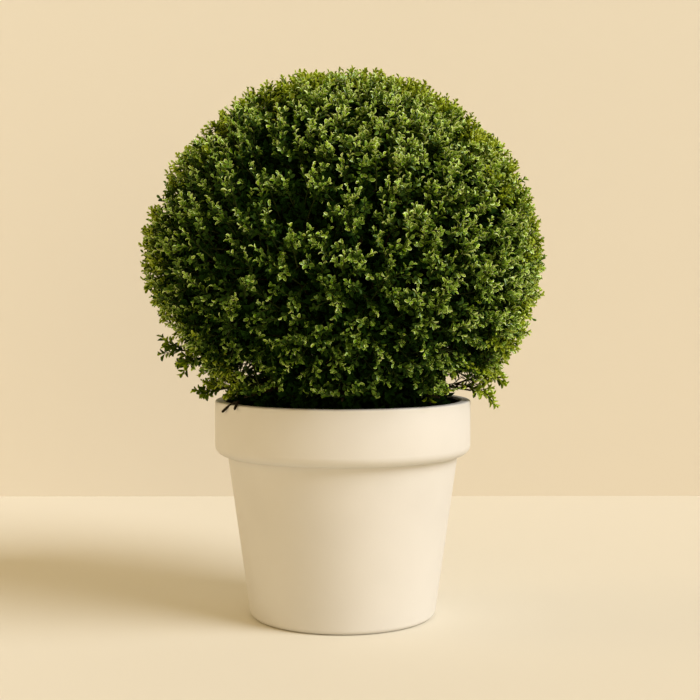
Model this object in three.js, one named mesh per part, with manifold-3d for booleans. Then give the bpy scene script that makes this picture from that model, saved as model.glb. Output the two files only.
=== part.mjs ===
// Potted Japanese holly ball: a clipped evergreen shrub in a round pot with a broad rim.
// Millimetres, +Z up. The origin is the middle of the pot's flat underside.
import * as THREE from "three";
import { mergeVertices } from "three/addons/utils/BufferGeometryUtils.js";
import Module from "manifold-3d";

const wasm = await Module();
wasm.setup();

// The gap that neighbouring solids keep.
const clearance = 0.3;

// Pot: a tapered body under a broad, upright rim band.
const potHeight = 271;
const rimRadius = 160;
const rimBandHeight = 68;
const rimThickness = 13;
const rimEdgeRound = 4.5;
const rimInnerRound = 3.6;
const lipRound = 12;
const bodyTopRadius = 144.3;
const bodyFootRadius = 116.2;
const footRound = 6;
const wallThickness = 10.5;
const floorThickness = 16;
const potSides = 56;
const arcDivisions = 1;

// Potting soil: fills the pot to a little below the rim, flat at the stem and lower at the wall.
const soilBelowRim = 13;
const soilFallAtWall = 3;
const soilFlatRadius = 46;
const soilTop = potHeight - soilBelowRim;

// Stem: short, leaning a little, with buttressed root flare at soil level.
const stemBottom = soilTop + clearance;
const stemTop = 300;
const stemLean = 6;
const stemRadius = 12;
const stemTipRadius = 9;
const rootFlare = 11;
const rootFlareFade = 5;
const rootButtresses = 5;
const buttressDepth = 0.35;
const stemSides = 15;
const stemSteps = 6;

// Crown: a clipped ball, slightly wider than tall, round a smaller core with a level underside.
const crownRadius = 250;
const crownHalfHeight = 240;
const crownCentreHeight = 448;
const crownFloor = 307;
const coreShare = 0.8;
const coreFloor = 311;
const coreDetail = 4;
const coreLumps = 0.02;
const coreLumpWaves = 7;
const crownSeed = 41;
const crownStemRadius = 8.5;
const crownStemSunk = 24;
const crownStemSides = 10;
const crownSprigs = 102;
const crownSprigJitter = 0.07;
const crownLeafLength = 42;
const crownLeavesPerSprig = 4;
const leafShareOverTwig = 0.82;
const fewestLeaves = 3;

// Skirt: low boughs that spread over the rim, each with its own open spray.
const boughCount = 8;
const boughRadius = 6;
const boughTipRadius = 3.4;
const boughReach = 112;
const boughElbowShare = 0.55;
const boughElbowRise = 6;
const boughTipHeight = 290;
const boughStartHeights = [272, 285];
const boughSides = 7;
const boughSteps = 5;
const skirtSeed = 700;
const skirtFloor = potHeight + 2;
const skirtCeiling = crownFloor - 2;
const skirtInnerRadius = boughReach + 4;
const skirtSectorMargin = 1.5;
const skirtStemLength = 66;
const skirtStemElbowShare = 0.4;
const skirtStemDroop = 0.12;
const skirtStemSides = 5;
const skirtStemSteps = 4;
const skirtOverhang = 10;
const skirtEndTwigShare = 0.85;
const skirtEndTwigLength = 13;
const skirtTwigs = 6;
const skirtTwigShares = [0.2, 0.9];
const skirtTwigLength = 36;
const skirtTwigSpread = 0.85;
const skirtTwigVariety = 0.3;
const skirtTwigLifts = [0.2, 0.05, -0.1];
const skirtLeafLength = 25;
const skirtLeavesPerTwig = 4;

// Twigs and leaves, larger than life because they stand for whole shoots.
const twigSides = 3;
const twigRadius = 3.6;
const twigTipRadius = 2.8;
const twigSunk = 12;
const leafWidthShare = 0.64;
const leafThicknessShare = 0.075;
const leafShoulderShare = 0.64;
const leafCupShare = 0.07;
const leafRootSunk = 0.9;
const leafTurn = (Math.PI * 2) / twigSides;
const lowestLeafSplay = THREE.MathUtils.degToRad(74);
const highestLeafSplay = THREE.MathUtils.degToRad(38);
const leafLengthSpread = 0.2;
const firstLeafShare = 0.3;
const lastLeafShare = 0.94;
const goldenTurn = THREE.MathUtils.degToRad(137.5);

const finishes = {
  pot: { color: 0xf0e6d4, roughness: 0.62, metalness: 0 },
  soil: { color: 0x1d150e, roughness: 0.95, metalness: 0 },
  bark: { color: 0x4a3a2b, roughness: 0.85, metalness: 0 },
  leaves: { color: 0x557a25, roughness: 0.45, metalness: 0 },
};
const materials = Object.fromEntries(
  Object.entries(finishes).map(([name, finish]) => [name, new THREE.MeshStandardMaterial(finish)]),
);

const up = new THREE.Vector3(0, 0, 1);

// Seeded random numbers from 0 to 1, so that the plant grows the same way every time.
function seededRandom(seed) {
  let state = seed >>> 0;
  return () => {
    state = (state + 0x6d2b79f5) >>> 0;
    let mixed = Math.imul(state ^ (state >>> 15), state | 1);
    mixed ^= mixed + Math.imul(mixed ^ (mixed >>> 7), mixed | 61);
    return ((mixed ^ (mixed >>> 14)) >>> 0) / 4294967296;
  };
}

// A closed geometry as a solid that can be joined and cut.
function solidOf(geometry) {
  const bare = new THREE.BufferGeometry();
  bare.setAttribute("position", geometry.getAttribute("position"));
  if (geometry.index) bare.setIndex(geometry.index);
  const merged = mergeVertices(bare, 1e-4);
  return new wasm.Manifold(
    new wasm.Mesh({
      numProp: 3,
      vertProperties: new Float32Array(merged.getAttribute("position").array),
      triVerts: new Uint32Array(merged.index.array),
    }),
  );
}

// A solid's main body as a geometry: loose scraps are dropped and sealed hollows filled.
function geometryOf(solid) {
  const bodies = solid.decompose();
  const main = bodies.reduce((a, b) => (b.volume() > a.volume() ? b : a));
  const { numProp, vertProperties, triVerts } = main.getMesh();
  const positions = new Float32Array((vertProperties.length / numProp) * 3);
  for (let i = 0; i < positions.length / 3; i++) {
    positions.set(vertProperties.subarray(i * numProp, i * numProp + 3), i * 3);
  }
  const geometry = new THREE.BufferGeometry();
  geometry.setAttribute("position", new THREE.BufferAttribute(positions, 3));
  geometry.setIndex(new THREE.BufferAttribute(new Uint32Array(triVerts), 1));
  geometry.computeVertexNormals();
  return geometry;
}

// A profile of radius and height, turned round the Z axis.
function turned(profile, sides) {
  return new THREE.LatheGeometry(profile.getPoints(arcDivisions), sides).rotateX(Math.PI / 2);
}

// A limb's own directions at a share of its length: along it, and two across it.
function limbFrame(curve, share) {
  const along = curve.getTangentAt(share);
  const reference = Math.abs(along.z) > 0.9 ? new THREE.Vector3(0, 1, 0) : up;
  const across = new THREE.Vector3().crossVectors(reference, along).normalize();
  const side = new THREE.Vector3().crossVectors(across, along);
  return { along, across, side };
}

// A limb bent along a curve: radiusAt gives its radius at a share of the length and an angle.
function limb(curve, radiusAt, sides, steps) {
  const geometry = new THREE.CylinderGeometry(1, 1, 1, sides, steps);
  const position = geometry.getAttribute("position");
  for (let i = 0; i < position.count; i++) {
    const share = position.getY(i) + 0.5;
    const x = position.getX(i);
    const z = position.getZ(i);
    const { across, side } = limbFrame(curve, share);
    const radius = radiusAt(share, Math.atan2(z, x));
    const point = curve.getPointAt(share);
    point.addScaledVector(across, x * radius).addScaledVector(side, z * radius);
    position.setXYZ(i, point.x, point.y, point.z);
  }
  return geometry;
}

// A straight, tapering, three-sided twig.
function twig(from, to) {
  const line = new THREE.LineCurve3(from, to);
  return limb(line, (share) => THREE.MathUtils.lerp(twigRadius, twigTipRadius, share), twigSides, 1);
}

// A leaf: an octahedron drawn out into a thin, cupped kite that is broadest past its middle.
function leaf(root, direction, face, length) {
  const side = new THREE.Vector3().crossVectors(face, direction).normalize();
  const normal = new THREE.Vector3().crossVectors(direction, side);
  const geometry = new THREE.OctahedronGeometry(1);
  const position = geometry.getAttribute("position");
  for (let i = 0; i < position.count; i++) {
    const end = Math.round(position.getX(i));
    const across = Math.round(position.getY(i));
    const through = Math.round(position.getZ(i));
    const along = length * (end === 0 ? leafShoulderShare : (1 + end) / 2);
    const lift = length * (through * leafThicknessShare * 0.5 + Math.abs(across) * leafCupShare);
    const point = root
      .clone()
      .addScaledVector(direction, along)
      .addScaledVector(side, across * length * leafWidthShare * 0.5)
      .addScaledVector(normal, lift);
    position.setXYZ(i, point.x, point.y, point.z);
  }
  return geometry;
}

function everyPoint(geometry, test) {
  const position = geometry.getAttribute("position");
  const point = new THREE.Vector3();
  for (let i = 0; i < position.count; i++) {
    if (!test(point.fromBufferAttribute(position, i))) return false;
  }
  return true;
}

// Leaves up a twig, one from the middle of each flat side in turn, closing in towards the tip.
function leavesOn(from, to, count, length, random, inSpace) {
  const { along, side } = limbFrame(new THREE.LineCurve3(from, to), 0);
  const firstSide = Math.floor(random() * twigSides);
  const leaves = [];
  for (let k = 0; k < count; k++) {
    const upTwig = k / (count - 1);
    const share = THREE.MathUtils.lerp(firstLeafShare, lastLeafShare, upTwig);
    const splay = THREE.MathUtils.lerp(lowestLeafSplay, highestLeafSplay, upTwig);
    const outward = side.clone().applyAxisAngle(along, (firstSide + k) * leafTurn);
    const direction = along.clone().multiplyScalar(Math.cos(splay)).addScaledVector(outward, Math.sin(splay));
    const root = from.clone().lerp(to, share).addScaledVector(direction, -leafRootSunk);
    const blade = leaf(root, direction, along, length * (1 - leafLengthSpread * random() * (1 - upTwig)));
    if (everyPoint(blade, inSpace)) leaves.push(blade);
  }
  return leaves;
}

// Pot

// The outer radius of the body's wall at a height, and the inner one with the wall's thickness off.
function bodyRadius(height) {
  return THREE.MathUtils.mapLinear(height, 0, potHeight - rimBandHeight, bodyFootRadius, bodyTopRadius);
}

function potInnerRadius(height) {
  const bandBottom = potHeight - rimBandHeight;
  if (height <= bandBottom) return bodyRadius(height) - wallThickness;
  const bandBottomInner = bodyRadius(bandBottom) - wallThickness;
  return THREE.MathUtils.mapLinear(height, bandBottom, potHeight, bandBottomInner, rimRadius - rimThickness);
}

function potGeometry() {
  const bandBottom = potHeight - rimBandHeight;
  const rimInner = rimRadius - rimThickness;
  const profile = new THREE.Path();
  profile.moveTo(0, 0);
  profile.lineTo(bodyRadius(0) - footRound, 0);
  profile.absarc(bodyRadius(footRound) - footRound, footRound, footRound, -Math.PI / 2, 0, false);
  profile.lineTo(bodyTopRadius, bandBottom);
  profile.lineTo(rimRadius - lipRound, bandBottom);
  profile.absarc(rimRadius - lipRound, bandBottom + lipRound, lipRound, -Math.PI / 2, 0, false);
  profile.absarc(rimRadius - rimEdgeRound, potHeight - rimEdgeRound, rimEdgeRound, 0, Math.PI / 2, false);
  profile.absarc(
    rimInner + rimInnerRound,
    potHeight - rimInnerRound,
    rimInnerRound,
    Math.PI / 2,
    Math.PI,
    false,
  );
  profile.lineTo(potInnerRadius(bandBottom), bandBottom);
  profile.lineTo(potInnerRadius(floorThickness), floorThickness);
  profile.lineTo(0, floorThickness);
  return turned(profile, potSides);
}

// Soil

function soilGeometry() {
  const bottom = floorThickness + clearance;
  const bandBottom = potHeight - rimBandHeight;
  const edgeHeight = soilTop - soilFallAtWall;
  const profile = new THREE.Path();
  profile.moveTo(0, bottom);
  profile.lineTo(potInnerRadius(bottom) - clearance, bottom);
  profile.lineTo(potInnerRadius(bandBottom) - clearance, bandBottom);
  profile.lineTo(potInnerRadius(edgeHeight) - clearance, edgeHeight);
  profile.lineTo(soilFlatRadius, soilTop);
  profile.lineTo(0, soilTop);
  return turned(profile, potSides);
}

// Stem and boughs

// The stem's middle line stands upright at both ends, so its foot and its tip are level cuts.
const stemLine = new THREE.CubicBezierCurve3(
  new THREE.Vector3(0, 0, stemBottom),
  new THREE.Vector3(0, 0, THREE.MathUtils.lerp(stemBottom, stemTop, 0.4)),
  new THREE.Vector3(stemLean, 0, THREE.MathUtils.lerp(stemBottom, stemTop, 0.6)),
  new THREE.Vector3(stemLean, 0, stemTop),
);

function stemGeometry(grow = 0) {
  const radiusAt = (share, angle) => {
    const flare = rootFlare * Math.exp(-rootFlareFade * share);
    const buttress = 1 + buttressDepth * Math.cos(rootButtresses * angle);
    return THREE.MathUtils.lerp(stemRadius, stemTipRadius, share) + flare * buttress + grow;
  };
  return limb(stemLine, radiusAt, stemSides, stemSteps);
}

// Boughs leave the stem in two alternating tiers and rise, then level out over the soil.
function boughLine(index) {
  const angle = (index / boughCount) * Math.PI * 2;
  const outward = new THREE.Vector3(Math.cos(angle), Math.sin(angle), 0);
  const startHeight = boughStartHeights[index % boughStartHeights.length];
  const start = stemLine.getPoint((startHeight - stemBottom) / (stemTop - stemBottom));
  const tip = outward.clone().multiplyScalar(boughReach).setZ(boughTipHeight);
  const elbow = start.clone().lerp(tip, boughElbowShare).setZ(boughTipHeight + boughElbowRise);
  return new THREE.QuadraticBezierCurve3(start, elbow, tip);
}

function boughSolid(index) {
  const radiusAt = (share) => THREE.MathUtils.lerp(boughRadius, boughTipRadius, share);
  const whole = solidOf(limb(boughLine(index), radiusAt, boughSides, boughSteps));
  return whole.subtract(solidOf(stemGeometry(clearance)));
}

// Crown

// A direction's point on the clipped outline, or on the smaller core with its raised floor.
function outlinePoint(direction) {
  const { x, y, z } = direction;
  return new THREE.Vector3(x * crownRadius, y * crownRadius, crownCentreHeight + z * crownHalfHeight);
}

function corePoint(direction) {
  const { x, y, z } = direction;
  const waves = Math.sin(coreLumpWaves * (x + y)) * Math.sin(coreLumpWaves * (y - z));
  const share = coreShare * (1 + coreLumps * waves);
  const height = Math.max(crownCentreHeight + z * crownHalfHeight * share, coreFloor);
  return new THREE.Vector3(x * crownRadius * share, y * crownRadius * share, height);
}

function insideOutline(point, overhang = 0) {
  const across = Math.hypot(point.x, point.y) / (crownRadius + overhang);
  const upward = (point.z - crownCentreHeight) / (crownHalfHeight + overhang);
  return across * across + upward * upward <= 1;
}

function coreGeometry() {
  const geometry = new THREE.IcosahedronGeometry(1, coreDetail);
  const position = geometry.getAttribute("position");
  const direction = new THREE.Vector3();
  for (let i = 0; i < position.count; i++) {
    const point = corePoint(direction.fromBufferAttribute(position, i).normalize());
    position.setXYZ(i, point.x, point.y, point.z);
  }
  return geometry;
}

// One short stem, a core, and sprigs spread evenly over it that are all clipped to the outline.
function crownSolid() {
  const random = seededRandom(crownSeed);
  const inSpace = (point) => insideOutline(point) && point.z >= crownFloor;
  const foot = stemLine.getPoint(1).setZ(stemTop + clearance);
  const stem = new THREE.LineCurve3(foot, foot.clone().setZ(coreFloor + crownStemSunk));
  const pieces = [coreGeometry(), limb(stem, () => crownStemRadius, crownStemSides, 1)];
  for (let i = 0; i < crownSprigs; i++) {
    const height = 1 - (2 * i) / (crownSprigs - 1);
    const ring = Math.sqrt(1 - height * height);
    const jitter = () => (random() - 0.5) * crownSprigJitter * ring;
    const turn = i * goldenTurn;
    const direction = new THREE.Vector3(Math.cos(turn) * ring, Math.sin(turn) * ring, height)
      .add(new THREE.Vector3(jitter(), jitter(), jitter()))
      .normalize();
    const reach = outlinePoint(direction);
    const root = corePoint(direction);
    const along = reach.clone().sub(root).normalize();
    const from = root.clone().addScaledVector(along, -twigSunk);
    const to = reach.clone().addScaledVector(along, -crownLeafLength * leafShareOverTwig);
    const leaves = leavesOn(root, to, crownLeavesPerSprig, crownLeafLength, random, inSpace);
    if (leaves.length >= fewestLeaves) pieces.push(twig(from, to), ...leaves);
  }
  return wasm.Manifold.union(pieces.map(solidOf));
}

// Skirt

// An open spray that goes on from a bough's tip: a drooping stem, side twigs by turns, and leaves.
function skirtSolid(index) {
  const random = seededRandom(skirtSeed + index);
  const sector = (index / boughCount) * Math.PI * 2;
  const halfSector = Math.PI / boughCount;
  const inSpace = (point) => {
    const radius = Math.hypot(point.x, point.y);
    const turn = Math.atan2(point.y, point.x) - sector;
    const offset = Math.abs(Math.atan2(Math.sin(turn), Math.cos(turn)));
    const sideRoom = radius * Math.sin(halfSector - offset);
    const inSector = offset < halfSector && sideRoom >= skirtSectorMargin;
    const inSlab = point.z >= skirtFloor && point.z <= skirtCeiling;
    return inSector && inSlab && radius >= skirtInnerRadius && insideOutline(point, skirtOverhang);
  };
  const line = boughLine(index);
  const outward = line.getTangent(1);
  const from = line.getPoint(1).addScaledVector(outward, clearance);
  const droop = outward.clone().setZ(outward.z - skirtStemDroop).normalize();
  const elbow = from.clone().addScaledVector(outward, skirtStemLength * skirtStemElbowShare);
  const to = elbow.clone().addScaledVector(droop, skirtStemLength * (1 - skirtStemElbowShare));
  const sprayLine = new THREE.QuadraticBezierCurve3(from, elbow, to);
  const sprayTaper = (share) => THREE.MathUtils.lerp(boughTipRadius, twigTipRadius, share);
  const vary = (size) => size * (1 + skirtTwigVariety * (random() - 0.5));
  const pieces = [limb(sprayLine, sprayTaper, skirtStemSides, skirtStemSteps)];
  const addSprig = (start, end) => {
    const leaves = leavesOn(start, end, skirtLeavesPerTwig, skirtLeafLength, random, inSpace);
    if (leaves.length > 0 && inSpace(end)) pieces.push(twig(start, end), ...leaves);
  };
  addSprig(sprayLine.getPoint(skirtEndTwigShare), to.clone().addScaledVector(droop, skirtEndTwigLength));
  for (let k = 0; k < skirtTwigs; k++) {
    const share = THREE.MathUtils.lerp(...skirtTwigShares, k / (skirtTwigs - 1));
    const start = sprayLine.getPoint(share);
    const side = k % 2 ? 1 : -1;
    const along = sprayLine.getTangent(share).applyAxisAngle(up, side * vary(skirtTwigSpread));
    along.z += skirtTwigLifts[k % skirtTwigLifts.length];
    addSprig(start, start.clone().addScaledVector(along.normalize(), vary(skirtTwigLength)));
  }
  return wasm.Manifold.union(pieces.map(solidOf));
}

// Assembly

const plant = new THREE.Group();

function add(name, geometry, material) {
  const mesh = new THREE.Mesh(geometry, material);
  mesh.name = name;
  plant.add(mesh);
}

add("pot", geometryOf(solidOf(potGeometry())), materials.pot);
add("soil", geometryOf(solidOf(soilGeometry())), materials.soil);
add("stem", geometryOf(solidOf(stemGeometry())), materials.bark);
for (let index = 0; index < boughCount; index++) {
  add(`bough_${index + 1}`, geometryOf(boughSolid(index)), materials.bark);
}
add("crown", geometryOf(crownSolid()), materials.leaves);
for (let index = 0; index < boughCount; index++) {
  add(`skirt_${index + 1}`, geometryOf(skirtSolid(index)), materials.leaves);
}

export default plant;
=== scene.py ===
# Potted Japanese holly ball: looks for the pot, soil, bark and foliage, in metres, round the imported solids.
import math
import bpy
import numpy as np
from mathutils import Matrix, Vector


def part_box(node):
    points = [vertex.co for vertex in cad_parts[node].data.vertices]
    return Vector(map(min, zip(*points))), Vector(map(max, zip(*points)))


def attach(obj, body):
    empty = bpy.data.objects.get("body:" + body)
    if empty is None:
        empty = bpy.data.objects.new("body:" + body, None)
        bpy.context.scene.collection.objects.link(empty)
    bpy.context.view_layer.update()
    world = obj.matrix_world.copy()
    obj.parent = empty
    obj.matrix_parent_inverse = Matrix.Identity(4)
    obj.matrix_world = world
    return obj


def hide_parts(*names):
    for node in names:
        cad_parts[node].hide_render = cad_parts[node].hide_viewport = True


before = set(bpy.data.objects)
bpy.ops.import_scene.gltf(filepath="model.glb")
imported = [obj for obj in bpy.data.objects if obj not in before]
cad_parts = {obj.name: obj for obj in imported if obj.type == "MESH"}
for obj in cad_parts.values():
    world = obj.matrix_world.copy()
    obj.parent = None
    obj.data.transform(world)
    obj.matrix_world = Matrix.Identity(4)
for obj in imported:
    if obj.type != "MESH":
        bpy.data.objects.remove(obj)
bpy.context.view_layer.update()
up = np.array([0.0, 0.0, 1.0])
fullTurn = 2 * math.pi
goldenTurn = math.radians(137.5)  # from leaf to leaf round a twig
nearEnough = 5e-4  # when points of a mesh are picked by their place
tiny = 1e-9  # least length that a vector is divided by
steepLimb = 0.75  # upward share from which a limb counts as steep
steepTwig = 0.9


# small helpers

def deselectAll():
    bpy.ops.object.select_all(action="DESELECT")


def finishPiece(piece, slotName, *nodes):
    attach(piece, "root")
    if nodes:
        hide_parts(*nodes)


def joinedMesh(name, points, faces, material, smooth=True):
    mesh = bpy.data.meshes.new(name)
    mesh.from_pydata(points, [], faces)
    mesh.polygons.foreach_set("use_smooth", np.full(len(mesh.polygons), smooth))
    mesh.materials.append(material)
    mesh.update()
    piece = bpy.data.objects.new(name, mesh)
    bpy.context.scene.collection.objects.link(piece)
    return piece


def unit(vectors):
    return vectors / np.maximum(np.linalg.norm(vectors, axis=-1, keepdims=True), tiny)


def between(first, last, share):
    return first + (last - first) * share


def giveOrTake(random, most, shape):
    return random.uniform(-most, most, shape)


def ringPoints(radius, angle, height):
    return np.stack([radius * np.cos(angle), radius * np.sin(angle), height], 1)


def newMaterial(name, colour, roughness, shine=0.5):
    material = bpy.data.materials.new(name)
    material.use_nodes = True
    shader = material.node_tree.nodes["Principled BSDF"]
    shader.inputs["Base Color"].default_value = (*colour, 1)
    shader.inputs["Roughness"].default_value = roughness
    shader.inputs["Specular IOR Level"].default_value = shine
    return material


def addNoise(tree, scale, detail, roughness):
    place = tree.nodes.new("ShaderNodeTexCoord")
    noise = tree.nodes.new("ShaderNodeTexNoise")
    noise.inputs["Scale"].default_value = scale
    noise.inputs["Detail"].default_value = detail
    noise.inputs["Roughness"].default_value = roughness
    tree.links.new(place.outputs["Object"], noise.inputs["Vector"])
    return noise.outputs["Fac"]


def addTones(tree, value, first, last):
    # the base colour goes from the first stop's to the last one's as the value rises
    ramp = tree.nodes.new("ShaderNodeValToRGB")
    for element, (position, colour) in zip(ramp.color_ramp.elements, (first, last)):
        element.position = position
        element.color = (*colour, 1)
    tree.links.new(value, ramp.inputs["Fac"])
    tree.links.new(ramp.outputs["Color"], tree.nodes["Principled BSDF"].inputs["Base Color"])


def addBump(tree, value, strength, distance):
    bump = tree.nodes.new("ShaderNodeBump")
    bump.inputs["Strength"].default_value = strength
    bump.inputs["Distance"].default_value = distance
    tree.links.new(value, bump.inputs["Height"])
    tree.links.new(bump.outputs["Normal"], tree.nodes["Principled BSDF"].inputs["Normal"])


def mottledMaterial(name, look):
    # two tones by noise, raised by the look's own grain or by the same noise
    dark, pale = look["tones"]
    material = newMaterial(name, dark[1], look["roughness"], look["shine"])
    tree = material.node_tree
    cloud = addNoise(tree, *look["noise"])
    addTones(tree, cloud, dark, pale)
    if "bump" in look:
        grain = addNoise(tree, *look["grain"]) if "grain" in look else cloud
        addBump(tree, grain, *look["bump"])
    return material


# camera, at the photograph's height, distance and lens
camera = {
    "lens": 67.2,
    "sensor": 36,
    "distance": 1.640,
    "height": 0.4014,
    "tiltDown": math.radians(2.403),
    "turnRight": 0.00555,
}


def makeCamera():
    deselectAll()
    bpy.ops.object.camera_add(
        location=(0, -camera["distance"], camera["height"]),
        rotation=(math.pi / 2 - camera["tiltDown"], 0, -camera["turnRight"]),
    )
    eye = bpy.context.object
    eye.data.lens = camera["lens"]
    eye.data.sensor_width = camera["sensor"]
    bpy.context.scene.camera = eye


# floor, back wall and soft studio light
studio = {
    "floorSize": 9.0,
    "floorColour": (0.700, 0.668, 0.572),
    "floorRoughness": 0.75,
    "wallDistance": 0.957,
    "wallHeight": 4.0,
    "wallColour": (0.755, 0.728, 0.645),
    "wallFootShade": (0.705, 0.656, 0.553),
    "wallRoughness": 0.9,
    "airColour": (1.0, 0.70, 0.305),
    "airStrength": 0.54,
    "keyFrom": (6.6, -3.7, 5.9),
    "keySoftness": math.radians(34),
    "keyStrength": 2.88,
    "keyColour": (1.0, 1.0, 1.02),
    "aim": (0, 0, 0.35),
    "softBoxes": [
        # name, place, size, watts, colour
        ("leftBox", (-4.5, 0.5, 1.5), 2.5, 62, (1.0, 0.80, 0.52)),
        ("frontBox", (1.2, -4.5, 1.0), 2.0, 27, (1.0, 0.82, 0.54)),
    ],
}


def wallMaterial():
    material = newMaterial("paleWall", studio["wallColour"], studio["wallRoughness"])
    tree = material.node_tree
    place = tree.nodes.new("ShaderNodeTexCoord")
    split = tree.nodes.new("ShaderNodeSeparateXYZ")
    tree.links.new(place.outputs["Object"], split.inputs["Vector"])
    # painted shade: the wall's colour is darker towards its foot
    addTones(tree, split.outputs["Z"], (0, studio["wallFootShade"]), (1, studio["wallColour"]))
    # the wall shows on its front only, so that the plant can be looked at from behind
    sides = tree.nodes.new("ShaderNodeNewGeometry")
    clear = tree.nodes.new("ShaderNodeBsdfTransparent")
    mix = tree.nodes.new("ShaderNodeMixShader")
    tree.links.new(sides.outputs["Backfacing"], mix.inputs["Fac"])
    tree.links.new(tree.nodes["Principled BSDF"].outputs["BSDF"], mix.inputs[1])
    tree.links.new(clear.outputs["BSDF"], mix.inputs[2])
    tree.links.new(mix.outputs["Shader"], tree.nodes["Material Output"].inputs["Surface"])
    return material


def makeBackdrop():
    deselectAll()
    bpy.ops.mesh.primitive_plane_add(size=studio["floorSize"])
    floor = bpy.context.object
    floor.name = "floor"
    floor.data.materials.append(newMaterial("paleFloor", studio["floorColour"], studio["floorRoughness"]))
    deselectAll()
    bpy.ops.mesh.primitive_plane_add(
        size=1,
        location=(0, studio["wallDistance"], studio["wallHeight"] / 2),
        rotation=(math.pi / 2, 0, 0),
    )
    wall = bpy.context.object
    wall.name = "backWall"
    wall.scale = (studio["floorSize"], studio["wallHeight"], 1)
    bpy.ops.object.transform_apply(location=True, rotation=True, scale=True)
    wall.data.materials.append(wallMaterial())


def makeLights():
    world = bpy.data.worlds.new("studioAir")
    bpy.context.scene.world = world
    world.use_nodes = True
    air = world.node_tree.nodes["Background"]
    air.inputs["Color"].default_value = (*studio["airColour"], 1)
    air.inputs["Strength"].default_value = studio["airStrength"]
    deselectAll()
    bpy.ops.object.light_add(type="SUN", location=studio["keyFrom"])
    key = bpy.context.object
    key.name = "keyLight"
    key.data.energy = studio["keyStrength"]
    key.data.angle = studio["keySoftness"]
    key.data.color = studio["keyColour"]
    key.rotation_euler = key.location.to_track_quat("Z", "Y").to_euler()
    for name, place, size, watts, colour in studio["softBoxes"]:
        deselectAll()
        bpy.ops.object.light_add(type="AREA", location=place)
        box = bpy.context.object
        box.name = name
        box.data.size = size
        box.data.energy = watts
        box.data.color = colour
        box.rotation_euler = (box.location - Vector(studio["aim"])).to_track_quat("Z", "Y").to_euler()
    bpy.context.scene.view_settings.view_transform = "Standard"
    print("studio with", len(studio["softBoxes"]) + 1, "lights")


# pot: rings from the foot up the outside, over the rim and down the inside
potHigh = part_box("pot")[1]
pot = {
    "sides": 144,
    "rimRadius": potHigh.x,
    "height": potHigh.z,
    "bandHeight": 0.068,
    "rimThickness": 0.013,
    "bodyTopRadius": 0.1443,
    "footRadius": 0.1162,
    "wall": 0.0105,
    "floor": 0.016,
    "footRound": 0.006,
    "lipRound": 0.0125,
    "rimRound": 0.0024,
    "innerRound": 0.0026,
    "roundSegments": 6,
    "mergeWithin": 1e-5,
    "smoothUnder": math.radians(35),
    "clay": {
        "tones": ((0.35, (0.632, 0.617, 0.580)), (0.65, (0.662, 0.647, 0.610))),  # noise and colour
        "roughness": 0.62,
        "shine": 0.5,
        "noise": (9, 3, 0.5),  # scale, detail and roughness
        "grain": (420, 4, 0.6),
        "bump": (0.12, 0.0006),  # strength and depth
    },
    # near-black tones of the inside wall: a soil stain and painted shade under the ball
    "stainAndShade": {
        "tones": ((0.45, (0.012, 0.009, 0.006)), (0.8, (0.07, 0.054, 0.038))),
        "roughness": 0.9,
        "shine": 0.1,
        "noise": (60, 5, 0.6),
    },
}
bandBottom = pot["height"] - pot["bandHeight"]


def potInside(gap=0):
    # radius and height down the inner wall, from the rim to the floor
    return [
        (pot["rimRadius"] - pot["rimThickness"] - gap, pot["height"]),
        (pot["bodyTopRadius"] - pot["wall"] - gap, bandBottom),
        (pot["footRadius"] - pot["wall"] - gap, pot["floor"]),
    ]


def selectRing(piece, radius, height):
    # edges that lie on a ring of this radius and height
    bpy.ops.mesh.select_all(action="DESELECT")
    bpy.ops.object.mode_set(mode="OBJECT")
    mesh = piece.data
    near = [
        abs(math.hypot(v.co.x, v.co.y) - radius) < nearEnough and abs(v.co.z - height) < nearEnough
        for v in mesh.vertices
    ]
    for edge in mesh.edges:
        edge.select = near[edge.vertices[0]] and near[edge.vertices[1]]
    bpy.ops.object.mode_set(mode="EDIT")
    bpy.ops.mesh.select_mode(type="EDGE")


def turnedPiece(name, sides, rings):
    # a disc on the first ring, extruded from ring to ring, where a level step is an inset or outset
    lastRadius, lastHeight = rings[0]
    deselectAll()
    bpy.ops.mesh.primitive_circle_add(
        vertices=sides,
        radius=lastRadius,
        fill_type="NGON",
        location=(0, 0, lastHeight),
    )
    piece = bpy.context.object
    piece.name = name
    bpy.ops.object.transform_apply(location=True, rotation=False, scale=False)
    bpy.ops.object.mode_set(mode="EDIT")
    bpy.ops.mesh.select_all(action="SELECT")
    bpy.ops.mesh.select_mode(type="FACE")
    for radius, height in rings[1:]:
        bpy.ops.mesh.extrude_region_move(TRANSFORM_OT_translate={"value": (0, 0, height - lastHeight)})
        share = radius / lastRadius
        bpy.ops.transform.resize(value=(share, share, 1), center_override=(0, 0, 0))
        lastRadius, lastHeight = radius, height
    return piece


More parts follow.
